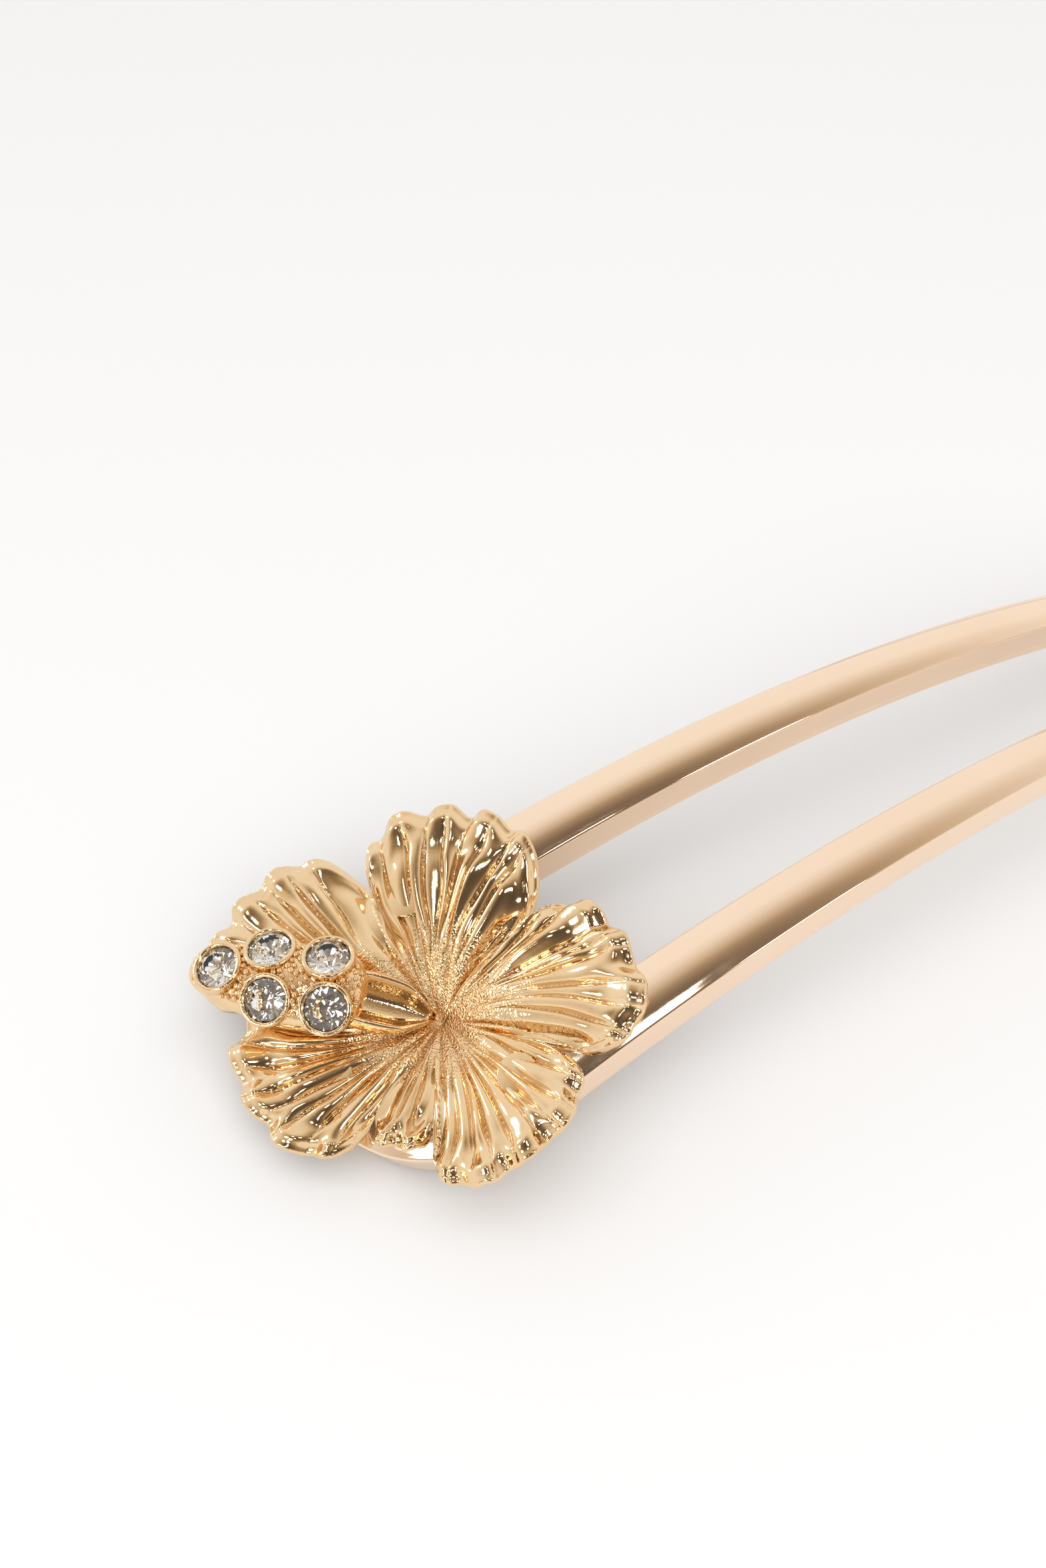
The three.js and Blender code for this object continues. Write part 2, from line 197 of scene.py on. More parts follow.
def arch_frame(station, across, height):
    """The frame at a station along the arch: X along it, Y across, Z square to it, in mm."""
    angle = station / ARCH_RADIUS - HALF_ANGLE
    reach = ARCH_RADIUS + height
    place = arch_start + Vector(
        (
            reach * math.sin(angle) + ARCH_RADIUS * math.sin(HALF_ANGLE),
            across,
            reach * math.cos(angle) - ARCH_RADIUS * math.cos(HALF_ANGLE),
        )
    )
    return Matrix.Translation(place) @ Matrix.Rotation(angle, 4, "Y")


def finished_piece(name, bm, nodes, material):
    """Turns a bmesh in mm into a riding piece in metres that stands for CAD nodes."""
    bmesh.ops.scale(bm, vec=(MM, MM, MM), verts=bm.verts)
    for face in bm.faces:
        face.smooth = True
    mesh = bpy.data.meshes.new(name)
    bm.to_mesh(mesh)
    bm.free()
    piece = bpy.data.objects.new(name, mesh)
    bpy.context.scene.collection.objects.link(piece)
    mesh.materials.append(material)
    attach(piece, "root")
    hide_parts(*nodes)
    return piece


# ---- Materials -------------------------------------------------------------------------------


NOISE_SPAN = (0.3, 0.7)  # most of a noise's values lie between these


def fill_ramp(node, stops):
    """Gives a colour ramp's stops their places and colours."""
    elements = node.color_ramp.elements
    while len(elements) < len(stops):
        elements.new(0.5)
    for element, (position, color) in zip(elements, stops):
        element.position = position
        element.color = (*color, 1)


class Finish:
    """One material's surface, worked out from noise on Object coordinates."""

    def __init__(self, name, metallic=0.0):
        self.material = bpy.data.materials.new(name)
        self.material.use_nodes = True
        self.tree = self.material.node_tree
        self.shader = self.tree.nodes["Principled BSDF"]
        self.shader.inputs["Metallic"].default_value = metallic
        self.place = self.tree.nodes.new("ShaderNodeTexCoord").outputs["Object"]

    def link(self, out, into):
        self.tree.links.new(out, into)

    def noise(self, scale, detail):
        node = self.tree.nodes.new("ShaderNodeTexNoise")
        node.inputs["Scale"].default_value = scale
        node.inputs["Detail"].default_value = detail
        self.link(self.place, node.inputs["Vector"])
        return node.outputs["Fac"]

    def cells(self, scale, smoothness):
        node = self.tree.nodes.new("ShaderNodeTexVoronoi")
        node.feature = "SMOOTH_F1"
        node.inputs["Scale"].default_value = scale
        node.inputs["Smoothness"].default_value = smoothness
        self.link(self.place, node.inputs["Vector"])
        return node.outputs["Distance"]

    def attribute(self, name):
        node = self.tree.nodes.new("ShaderNodeAttribute")
        node.attribute_name = name
        return node.outputs["Fac"]

    def sum_or_product(self, operation, a, b):
        node = self.tree.nodes.new("ShaderNodeMath")
        node.operation = operation
        self.link(a, node.inputs[0])
        if isinstance(b, float):
            node.inputs[1].default_value = b
        else:
            self.link(b, node.inputs[1])
        return node.outputs[0]

    def tone(self, scale, detail, dark, light, spread=NOISE_SPAN):
        """Base colour that drifts between two tones."""
        node = self.tree.nodes.new("ShaderNodeValToRGB")
        fill_ramp(node, list(zip(spread, (dark, light))))
        self.link(self.noise(scale, detail), node.inputs["Fac"])
        self.link(node.outputs["Color"], self.shader.inputs["Base Color"])

    def patches(self, scale, detail, smooth, rough):
        """Roughness that drifts between two values."""
        node = self.tree.nodes.new("ShaderNodeMapRange")
        node.inputs["From Min"].default_value, node.inputs["From Max"].default_value = NOISE_SPAN
        node.inputs["To Min"].default_value, node.inputs["To Max"].default_value = smooth, rough
        self.link(self.noise(scale, detail), node.inputs["Value"])
        return node.outputs["Result"]

    def roughness(self, value):
        self.link(value, self.shader.inputs["Roughness"])

    def relief(self, height, depth, strength, under=None):
        """Relief of a depth in mm, over what is already there."""
        node = self.tree.nodes.new("ShaderNodeBump")
        node.inputs["Distance"].default_value = depth * MM
        node.inputs["Strength"].default_value = strength
        self.link(height, node.inputs["Height"])
        if under is not None:
            self.link(under, node.inputs["Normal"])
        self.link(node.outputs["Normal"], self.shader.inputs["Normal"])
        return node.outputs["Normal"]


def champagne_plating():
    """Mirror-polished plating with faint ripples and a few dull patches."""
    finish = Finish("champagne_plating", metallic=1.0)
    finish.tone(scale=90, detail=2, dark=(0.925, 0.71, 0.525), light=(0.945, 0.735, 0.55))
    finish.roughness(finish.patches(scale=420, detail=4, smooth=0.05, rough=0.11))
    ripple = finish.relief(finish.noise(scale=160, detail=1), depth=0.06, strength=0.25)
    finish.relief(finish.noise(scale=5200, detail=3), depth=0.004, strength=0.2, under=ripple)
    return finish.material


def flower_plating():
    """Bright yellow-gold plating over cast relief, sandy where the mesh's grain says so."""
    finish = Finish("flower_plating", metallic=1.0)
    finish.tone(scale=380, detail=3, dark=(0.82, 0.585, 0.33), light=(0.87, 0.645, 0.395))
    grain = finish.attribute("grain")
    polish = finish.patches(scale=900, detail=3, smooth=0.06, rough=0.13)
    matt = finish.sum_or_product("MULTIPLY", grain, 0.06)
    finish.roughness(finish.sum_or_product("ADD", polish, matt))
    cast = finish.relief(finish.noise(scale=1500, detail=2), depth=0.03, strength=0.35)
    sand = finish.sum_or_product("MULTIPLY", finish.cells(scale=6000, smoothness=0.4), grain)
    finish.relief(sand, depth=0.07, strength=1.0, under=cast)
    return finish.material


def clear_crystal():
    finish = Finish("clear_crystal")
    finish.shader.inputs["Transmission Weight"].default_value = 1.0
    finish.shader.inputs["IOR"].default_value = 1.6
    finish.tone(scale=300, detail=1, dark=(0.98, 0.98, 0.98), light=(1.0, 1.0, 1.0))
    finish.roughness(finish.patches(scale=2500, detail=2, smooth=0.0, rough=0.012))
    return finish.material


def mirror_foil():
    finish = Finish("mirror_foil", metallic=1.0)
    finish.tone(scale=700, detail=2, dark=(0.94, 0.94, 0.94), light=(0.99, 0.99, 0.98))
    finish.roughness(finish.patches(scale=1500, detail=2, smooth=0.02, rough=0.06))
    return finish.material


def solder_metal():
    """Duller, lumpier metal under the flower's feet."""
    finish = Finish("solder_metal", metallic=1.0)
    finish.tone(scale=900, detail=4, dark=(0.62, 0.46, 0.28), light=(0.86, 0.68, 0.44),
                spread=(0.35, 0.65))
    finish.roughness(finish.patches(scale=1300, detail=4, smooth=0.18, rough=0.42))
    finish.relief(finish.noise(scale=2600, detail=3), depth=0.05, strength=0.5)
    return finish.material


def stone_cement():
    finish = Finish("stone_cement")
    finish.tone(scale=1200, detail=4, dark=(0.55, 0.5, 0.4), light=(0.72, 0.68, 0.6),
                spread=(0.35, 0.65))
    finish.roughness(finish.patches(scale=2000, detail=3, smooth=0.45, rough=0.7))
    finish.relief(finish.noise(scale=4000, detail=4), depth=0.04, strength=0.5)
    return finish.material


# ---- Fork ------------------------------------------------------------------------------------

QUARTER_LENGTH = BAR_MID * (math.pi / 2 + TOE_IN)
PRONG_LENGTH = (PIN_LENGTH - BOW_WIDTH / 2 - BAR_MID * math.sin(TOE_IN)) / math.cos(TOE_IN)


def middle_line(distance):
    """Station, distance across and heading of the bar's middle line, from the bow's end."""
    side = 1 if distance >= 0 else -1
    run = abs(distance)
    turn = min(run, QUARTER_LENGTH) / BAR_MID
    straight = max(0.0, run - QUARTER_LENGTH)
    station = BOW_WIDTH / 2 - BAR_MID * math.cos(turn) + straight * math.sin(turn)
    across = BAR_MID * math.sin(turn) + straight * math.cos(turn)
    return station, side * across, side * turn


def bar_scale(distance):
    """Shares of the bow's width and height that the bar has at a distance."""
    along = max(0.0, abs(distance) - QUARTER_LENGTH) / PRONG_LENGTH
    into_tip = abs(distance) - (QUARTER_LENGTH + PRONG_LENGTH - TIP_ROUNDING)
    ease = math.sqrt(max(0.0, 1 - (max(0.0, into_tip) / TIP_ROUNDING) ** 2))
    return mix(1, TIP_WIDTH / BAR_WIDTH, along) * ease, mix(TIP_HEIGHT_SHARE, 1, ease)


def bar_section():
    """Outline of the bar from the middle of its underside, up one side and over the crown. The
    third number says how much of the parting line's ridge a point carries."""
    half = BAR_WIDTH / 2
    slope = math.atan2(2 * CROWN_HEIGHT, half - BEVEL)
    one_side = [(0.0, 0.0, 0.0), (0.5 * half, 0.0, 0.0)]
    for i in range(EDGE_STEPS + 1):
        turn = math.radians(90 / EDGE_STEPS * i)
        out = half - EDGE_RADIUS + EDGE_RADIUS * math.sin(turn)
        one_side.append((out, EDGE_RADIUS * (1 - math.cos(turn)), 0.0))
    one_side += [(half, PARTING_HEIGHT + step, ridge) for step, ridge in PARTING_STEPS]
    for share in (0.3, 0.65):
        one_side.append((half, mix(PARTING_HEIGHT, SIDE_HEIGHT - BEVEL, share), 0.0))
    for i in range(BEVEL_STEPS + 1):
        # An arc that meets the upright side and the crown.
        tilt = mix(math.pi / 2, slope, i / BEVEL_STEPS)
        run = (1 - math.sin(tilt)) / (1 - math.sin(slope))
        climb = math.cos(tilt) / math.cos(slope)
        one_side.append((half - BEVEL * run, SIDE_HEIGHT - BEVEL + BEVEL * climb, 0.0))
    for i in range(1, CROWN_STEPS + 1):
        share = i / CROWN_STEPS
        out = mix(half - BEVEL, 0, share)
        one_side.append((out, SIDE_HEIGHT + CROWN_HEIGHT * (1 - (1 - share) ** 2), 0.0))
    return one_side + [(-x, y, ridge) for x, y, ridge in reversed(one_side[1:-1])]


def bar_stations():
    """Distances along one half of the middle line, closer together round the bow and the tip."""
    tip_start = QUARTER_LENGTH + PRONG_LENGTH - TIP_ROUNDING
    stations = [QUARTER_LENGTH * i / BOW_STEPS for i in range(BOW_STEPS)]
    stations += [mix(QUARTER_LENGTH, tip_start, i / PRONG_STEPS) for i in range(PRONG_STEPS)]
    for i in range(TIP_STEPS + 1):
        stations.append(tip_start + TIP_ROUNDING * math.sin(i / TIP_STEPS * math.pi / 2))
    return stations


def parting_shift(distance, side, ridge):
    """How far the parting line wanders up and stands out at a distance along the bar."""
    wave = noise.noise(Vector((0.35 * distance, 3.0 * side, 0.0)))
    lift = noise.noise(Vector((1.9 * distance, 5.0 * side, 7.0)))
    return side * ridge * PARTING_RIDGE * (0.7 + 0.8 * lift), PARTING_WOBBLE * (wave + 0.4 * lift)


def make_fork(material):
    """The arched bar: a grid wrapped round its section and laid along the middle line."""
    section = bar_section()
    half = bar_stations()
    stations = [-d for d in reversed(half[1:])] + half
    bm = bmesh.new()
    bmesh.ops.create_grid(bm, x_segments=len(section), y_segments=len(stations) - 1, size=0.5)
    for vertex in bm.verts:
        corner = round((vertex.co.x + 0.5) * len(section)) % len(section)
        distance = stations[round((vertex.co.y + 0.5) * (len(stations) - 1))]
        out, up, ridge = section[corner]
        station, across, heading = middle_line(distance)
        width, height = bar_scale(distance)
        if ridge:
            stand, wander = parting_shift(distance, 1 if out > 0 else -1, ridge)
            out, up = out + stand, up + wander
        out *= width
        place = arch_frame(station - out * math.cos(heading), across + out * math.sin(heading), 0)
        vertex.co = place @ Vector((0, 0, up * height))
        vertex.co.z = max(0.0, vertex.co.z)
    bmesh.ops.remove_doubles(bm, verts=bm.verts, dist=0.002)
    bmesh.ops.recalc_face_normals(bm, faces=bm.faces)
    return finished_piece("fork_body", bm, ["fork"], material)


# ---- Flower ----------------------------------------------------------------------------------

FLOWER_FRAME = arch_frame(FLOWER_STATION, FLOWER_ACROSS, FLOWER_FLOOR)


def petal_at(bearing):
    """The petal nearest to a bearing, its number and the place across it, from -1 to 1."""
    best = None
    for number, petal in enumerate(PETALS):
        off = (bearing - petal["bearing"] + 180) % 360 - 180
        across = off / petal["spread"]
        if best is None or abs(across) < abs(best[2]):
            best = (petal, number, across)
    return best


def lobe_wave(petal, across):
    """1 in the middle of a lobe and -1 in the dip between two."""
    return math.cos(across * petal["lobes"] * math.pi + math.radians(petal["phase"]))


def petal_reach(petal, number, across):
    """Distance of the petal's edge from the flower's middle."""
    full = math.sqrt(max(0.0, 1 - across**4))
    notch = (0.5 - 0.5 * lobe_wave(petal, across)) ** LOBE_SHARPNESS
    nibble = NIBBLE * noise.noise(Vector((7 * across, 3.1 * number, 0.0)))
    outline = petal["length"] * (PETAL_BASE + (1 - PETAL_BASE) * full)
    outline *= 1 + petal["skew"] * across
    return max(NOTCH_RADIUS, outline + (nibble - LOBE_DEPTH * notch) * full)


def bar_top_under(x, y):
    """Height of the fork's top under a place of the flower, over the flower's floor."""
    station, across = FLOWER_STATION + x, FLOWER_ACROSS + y
    from_bend = math.hypot(min(0.0, station - BOW_WIDTH / 2), across)
    from_middle = abs(from_bend - BAR_MID) / (BAR_WIDTH / 2)
    crown = SIDE_HEIGHT + CROWN_HEIGHT * (1 - min(1.0, from_middle) ** 2) - FLOWER_FLOOR
    crown -= x * x / (2 * ARCH_RADIUS)
    return crown * (1 - smooth_step(1.05, 1.5, from_middle)) + FORK_GAP


def soft_max(a, b, softness):
    """The greater of two heights, with the change from one to the other rounded off."""
    high, low = max(a, b), min(a, b)
    return high + softness * math.log1p(math.exp((low - high) / softness))


def petal_rise(bearing):
    """Steepness of the funnel at a bearing, blended between the petals."""
    total = share = 0.0
    for petal in PETALS:
        weight = math.exp(3 * math.cos(math.radians(bearing - petal["bearing"])))
        total += weight * petal["rise"] / petal["length"] ** FUNNEL_POWER
        share += weight
    return total / share


def round_fold(count):
    """Half a circle's height over each whole number of a count of folds."""
    return math.sqrt(max(0.0, 1 - (2 * (count - round(count))) ** 2))


def flute(petal, number, across, out):
    """Height of the folds, 1 on their crests and 0 in the grooves. They are broad at the centre
    and finer farther out, fan away from the petal's middle, sway and vary in width and height.
    The factors inside the noise say how quickly each of these changes, and part the petals."""
    fanned = across + FAN * math.sin(math.pi * across) * (1 - out) * smooth_step(-0.2, 0.3, out)
    count = 0.5 * petal["flutes"] * fanned
    count += SWAY * noise.noise(Vector((0.62 * count, 2.6 * out, 4.7 * number)))
    count += 0.3 * noise.noise(Vector((1.3 * count, 0.4 * out, 8.1 * number)))
    nearest = round(count)
    tall = 0.8 + 0.6 * noise.noise(Vector((1.37 * nearest, 1.4 * out, 9.0 * number)))
    start = 0.25 * noise.noise(Vector((0.9 * nearest, 0.0, 3.3 * number)))
    broad = 0.3 + 0.7 * round_fold(BROAD_SHARE * count)
    return mix(broad, round_fold(count) * tall, smooth_step(*BROAD_TO_FINE, out + start))


def bell(value, middle, width):
    """1 at the middle, falling to nothing on both sides."""
    return math.exp(-(((value - middle) / width) ** 2))


def funnel(bearing, radius):
    """Height of the plain petals, without folds or camber."""
    return petal_rise(bearing) * radius**FUNNEL_POWER + HALF_THICKNESS


def side_fall(across, out):
    """How far a petal falls away toward its sides."""
    return CAMBER * min(1.0, abs(across)) ** 2.5 * smooth_step(*SIDES_FALL, out)


def petal_top(petal, number, across, bearing, out, reach):
    """Height of the flower's upper face over its floor."""
    edge = min(1.0, abs(across))
    height = funnel(bearing, out * reach)
    wave = 1 - 2 * (0.5 - 0.5 * lobe_wave(petal, across)) ** 1.6
    # Flutes start at the centre and shrink toward the rim.
    depth = FLUTE_DEPTH * smooth_step(*FLUTES_START, out)
    depth *= 1 - FADED_FLUTES * smooth_step(*FLUTES_FADE, out)
    height += depth * (flute(petal, number, across, out) - FLUTE_MIDDLE)
    height -= side_fall(across, out)
    # Lobes ruffle the edge, with a hollow inside each and a lip round it.
    height += RUFFLE * wave * smooth_step(*LOBES_RUFFLE, out) * (1 - edge**6)
    uneven = 1.1 * noise.noise(Vector((2.3 * across, 6.0, 5.5 * number)))
    height -= BOWL * (0.5 + 0.4 * wave + uneven) * bell(out, *BOWL_PLACE) * (1 - edge**4)
    height += LIP * bell(out, *LIP_PLACE)
    # Neighbours meet in a seam, one a step above the other.
    height -= SEAM_DEPTH * edge**16 * smooth_step(*SEAM_START, out)
    height += OVERLAP_STEP * across * edge**5 * smooth_step(*STEP_START, out)
    height -= RIM_DROOP * smooth_step(*DROOP_START, out) ** 2 * (0.75 - 0.15 * wave)
    return height


def flower_spot(ring, bearing):
    """Radius and height of a point of the casting, and how grainy it is. Rings run from the
    middle of the upper face out to the edge, round the rim and back under the flower."""
    petal, number, across = petal_at(bearing)
    inner = petal_reach(petal, number, across) - RIM_RADIUS
    if 0 < ring - FRONT_RINGS <= RIM_RINGS:
        out = 1.0
        turn = math.pi * (ring - FRONT_RINGS) / RIM_RINGS
        radius = inner + RIM_RADIUS * math.sin(turn)
        height = petal_top(petal, number, across, bearing, 1.0, inner)
        height -= RIM_RADIUS * (1 - math.cos(turn))
    else:
        if ring <= FRONT_RINGS:
            out = (ring / FRONT_RINGS) ** RING_CROWDING
        else:
            out = 1 - (ring - FRONT_RINGS - RIM_RINGS) / BACK_RINGS
        radius = out * inner
        angle = math.radians(bearing)
        bar_top = bar_top_under(radius * math.cos(angle), radius * math.sin(angle))
        turned, turned_number, turned_across = petal_at(bearing - TWIST * (1 - out))
        if ring <= FRONT_RINGS:
            height = petal_top(turned, turned_number, turned_across, bearing, out, inner)
            height = soft_max(height, bar_top + LEAST_WALL, FORK_SOFTNESS)
        else:
            rim = petal_top(petal, number, across, bearing, 1.0, inner) - 2 * RIM_RADIUS
            plain = funnel(bearing, radius) - BACK_DEPTH
            plain -= BACK_CAMBER * side_fall(turned_across, out)
            height = max(mix(plain, rim, smooth_step(*BACK_MEETS_RIM, out)), bar_top)
    speckle = 0.12 * noise.noise(Vector((0.9 * radius, 0.12 * bearing, number)))
    grain = 1 - smooth_step(*SANDY_REACH, out + speckle)
    return radius, height, grain if ring <= FRONT_RINGS else BACK_GRAIN


def make_flower(material):
    """The hibiscus: a grid wrapped into one closed skin, with three feet on its back."""
    bm = bmesh.new()
    bmesh.ops.create_grid(bm, x_segments=AROUND, y_segments=RINGS, size=0.5)
    grain_layer = bm.verts.layers.float.new("grain")
    for vertex in bm.verts:
        ring = round((vertex.co.y + 0.5) * RINGS)
        bearing = 360.0 * (round((vertex.co.x + 0.5) * AROUND) % AROUND) / AROUND
        radius, height, vertex[grain_layer] = flower_spot(ring, bearing)
        angle = math.radians(bearing)
        spot = Vector((radius * math.cos(angle), radius * math.sin(angle), height))
        vertex.co = FLOWER_FRAME @ spot
    bmesh.ops.remove_doubles(bm, verts=bm.verts, dist=0.0004)
    bmesh.ops.recalc_face_normals(bm, faces=bm.faces)
    add_pads(bm)
    return finished_piece("flower_casting", bm, ["flower"], material)


def add_pads(bm):
    """Three short feet under the petals, on the middle line of the bar."""
    for bearing in PAD_BEARINGS:
        turn = math.radians(bearing)
        station = BOW_WIDTH / 2 + BAR_MID * math.cos(turn)
        place = arch_frame(station, BAR_MID * math.sin(turn), SIDE_HEIGHT + CROWN_HEIGHT)
        made = bmesh.ops.create_cone(
            bm, cap_ends=True, segments=40, radius1=PAD_RADIUS, radius2=PAD_RADIUS + PAD_FLARE,
            depth=PAD_HEIGHT,
            matrix=place @ Matrix.Translation((0, 0, SOLDER_THICKNESS + PAD_HEIGHT / 2)),
        )
        foot = set(made["verts"])
        ends = [face for face in bm.faces if len(face.verts) > 4 and face.verts[0] in foot]
        bmesh.ops.bevel(
            bm, geom=[edge for face in ends for edge in face.edges], offset=PAD_EDGE, segments=3,
            profile=0.5, affect="EDGES", material=-1,
        )


# ---- Pistil ----------------------------------------------------------------------------------

PISTIL_FRAME = FLOWER_FRAME @ Matrix.Rotation(math.radians(PISTIL_BEARING), 4, "Z")


def body_frame(body):
    """Frame of a long body: X along it, Y across, Z out of its upper side."""
    place = Matrix.Translation(((body["near"] + body["far"]) / 2, 0, body["height"]))
    return PISTIL_FRAME @ place @ Matrix.Rotation(-math.radians(body["slope"]), 4, "Y")


def half_length(body):
    """Half of a long body's length, along its slope."""
    return (body["far"] - body["near"]) / 2 / math.cos(math.radians(body["slope"]))


def girth(along, narrowing):
    """Share of its full width that a body has at a place from -1 to 1 along it."""
    return max(0.0, 1 - along**2) ** END_FULLNESS * (1 - narrowing * along)


def club_top(along, lateral):
    """Height of the club's upper side over its middle line."""
    size = girth(along / half_length(CLUB), CLUB["narrowing"])
    flat = 1 - (lateral / (CLUB["half_width"] * size)) ** 2
    return CLUB["half_depth"] * size * math.sqrt(max(0.0, flat))


def stone_frames():
    """Name and frame of each stone: Z out of its cup, the origin in the girdle's plane."""
    frames = {}
    for row, along, lateral, lean, nod in STONE_ROWS:
        for side, word in ((-1, "upper_"), (1, "lower_")) if lateral else ((1, ""),):
            stagger = -side * ROW_STAGGER if lateral else 0.0
            middle = (CLUB["near"] + CLUB["far"]) / 2
            reach = (along + stagger - middle) / math.cos(math.radians(CLUB["slope"]))
            place = Vector((reach, side * lateral, club_top(reach, side * lateral) + CUP_RIM))
            frames[word + row] = (
                body_frame(CLUB)
                @ Matrix.Translation(place)
                @ Matrix.Rotation(-side * math.radians(lean), 4, "X")
                @ Matrix.Rotation(math.radians(nod), 4, "Y")
            )
    return frames


STONES = stone_frames()
CUP_BORE = STONE_RADIUS + 0.04


def long_body(bm, body, section):
    """A ball drawn out along X into a body whose cross-section follows a rule."""
    made = bmesh.ops.create_uvsphere(
        bm, u_segments=body["around"], v_segments=body["rings"], radius=1
    )
    for vertex in made["verts"]:
        along = max(-1.0, min(1.0, vertex.co.z))
        turn = math.atan2(vertex.co.y, vertex.co.x)
        size = girth(along, body["narrowing"])
        side, up = section(along, math.cos(turn), math.sin(turn))
        wide, deep = body["half_width"] * size * side, body["half_depth"] * size * up
        vertex.co = body_frame(body) @ Vector((along * half_length(body), wide, deep))


def club_section(along, side, up):
    """A plain oval all along."""
    return side, up


def stem_section(along, side, up):
    """A leaf that comes to a point, with two raised rims and a hollow on its upper side."""
    leaf = smooth_step(-1.25, -0.3, along)
    if up <= 0:
        return side * leaf, up
    open_up = smooth_step(-1.0, -0.8, along)
    hollow = STEM_HOLLOW * math.exp(-((side / 0.62) ** 4)) * open_up
    rim = STEM_RIM * bell(abs(side), *STEM_RIM_PLACE) * open_up
    return side * leaf, up * (1 - hollow) + rim


def cup_profile():
    """Outline of a cup from its foot, up outside, over the rounded rim and down its cone."""
    outer = CUP_BORE + CUP_WALL
    rim = CUP_WALL / 2
    rim_steps = 8
    outline = [(share * outer, -depth * CUP_DEPTH) for share, depth in
               ((0.0, 1.0), (0.45, 1.0), (0.72, 0.86), (0.93, 0.58), (1.0, 0.3))]
    for i in range(rim_steps + 1):
        turn = math.pi * i / rim_steps
        height = CUP_RIM - 0.03 + 0.9 * rim * math.sin(turn)
        outline.append((outer - rim + rim * math.cos(turn), height))
    return outline + [(CUP_BORE, -0.15), (0.0, -PAVILION - 0.18)]


def tag_all(bm):
    """Marks the points made so far, so that the next ones can be told from them."""
    for vertex in bm.verts:
        vertex.tag = True


def add_cup(bm, place):
    """Spins a cup round its stone's axis. Everything made before it is tagged."""
    points = [bm.verts.new((radius, 0, height)) for radius, height in cup_profile()]
    edges = [bm.edges.new(pair) for pair in zip(points, points[1:])]
    bmesh.ops.spin(
        bm, geom=points + edges, cent=(0, 0, 0), axis=(0, 0, 1), dvec=(0, 0, 0),
        angle=math.tau, steps=CUP_STEPS, use_merge=True, use_duplicate=False,
    )
    bmesh.ops.remove_doubles(bm, verts=[v for v in bm.verts if not v.tag], dist=0.001)
    bmesh.ops.transform(bm, matrix=place, verts=[v for v in bm.verts if not v.tag])
    tag_all(bm)


def clear_under_stones(bm):
    """Sinks the club's skin below the stones, inside their cups."""
    for vertex in bm.verts:
        for place in STONES.values():
            local = place.inverted() @ vertex.co
            near_axis = math.hypot(local.x, local.y) < CUP_BORE + SINK_REACH
            if near_axis and SINK_HEIGHTS[0] < local.z < SINK_HEIGHTS[1]:
                local.z = -PAVILION - SINK_DEPTH
                vertex.co = place @ local


def make_pistil(material):
    """The stamen column: a leaf-shaped stem, a club, five cups and the beads between them."""
    bm = bmesh.new()
    long_body(bm, CLUB, club_section)
    for vertex in bm.verts:
        vertex.co.z += CLUB_UNEVENNESS * noise.noise(vertex.co * 0.9)
    clear_under_stones(bm)
    long_body(bm, STEM, stem_section)
    tag_all(bm)
    for place in STONES.values():
        add_cup(bm, place)
    add_beads(bm)
    bmesh.ops.recalc_face_normals(bm, faces=bm.faces)
    grain_layer = bm.verts.layers.float.new("grain")
    for vertex in bm.verts:
        vertex[grain_layer] = PISTIL_GRAIN
    return finished_piece("pistil_casting", bm, ["pistil"], material)


def add_beads(bm):
    """Small beads packed on the club's top wherever no cup stands."""
    rng = random.Random(7)
    frame_of_club = body_frame(CLUB)
    into_stone = [place.inverted() for place in STONES.values()]
    length = half_length(CLUB)
    kept = []
    for _ in range(BEAD_TRIES):
        along = rng.uniform(-0.96, 0.93) * length
        size = girth(along / length, CLUB["narrowing"])
        lateral = rng.uniform(-0.8, 0.8) * CLUB["half_width"] * size
        top = club_top(along, lateral) + 0.3 * BEAD_RADIUS
        place = frame_of_club @ Vector((along, lateral, top))
        if any(math.hypot(*(into @ place).xy) < CUP_BORE + CUP_WALL + 0.02 for into in into_stone):
            continue
        if any((place - other).length < 1.85 * BEAD_RADIUS for other in kept):
            continue
        kept.append(place)
        radius = BEAD_RADIUS * rng.uniform(0.8, 1.15)
        bmesh.ops.create_icosphere(
            bm, subdivisions=2, radius=radius, matrix=Matrix.Translation(place)
        )


# ---- Stones ----------------------------------------------------------------------------------


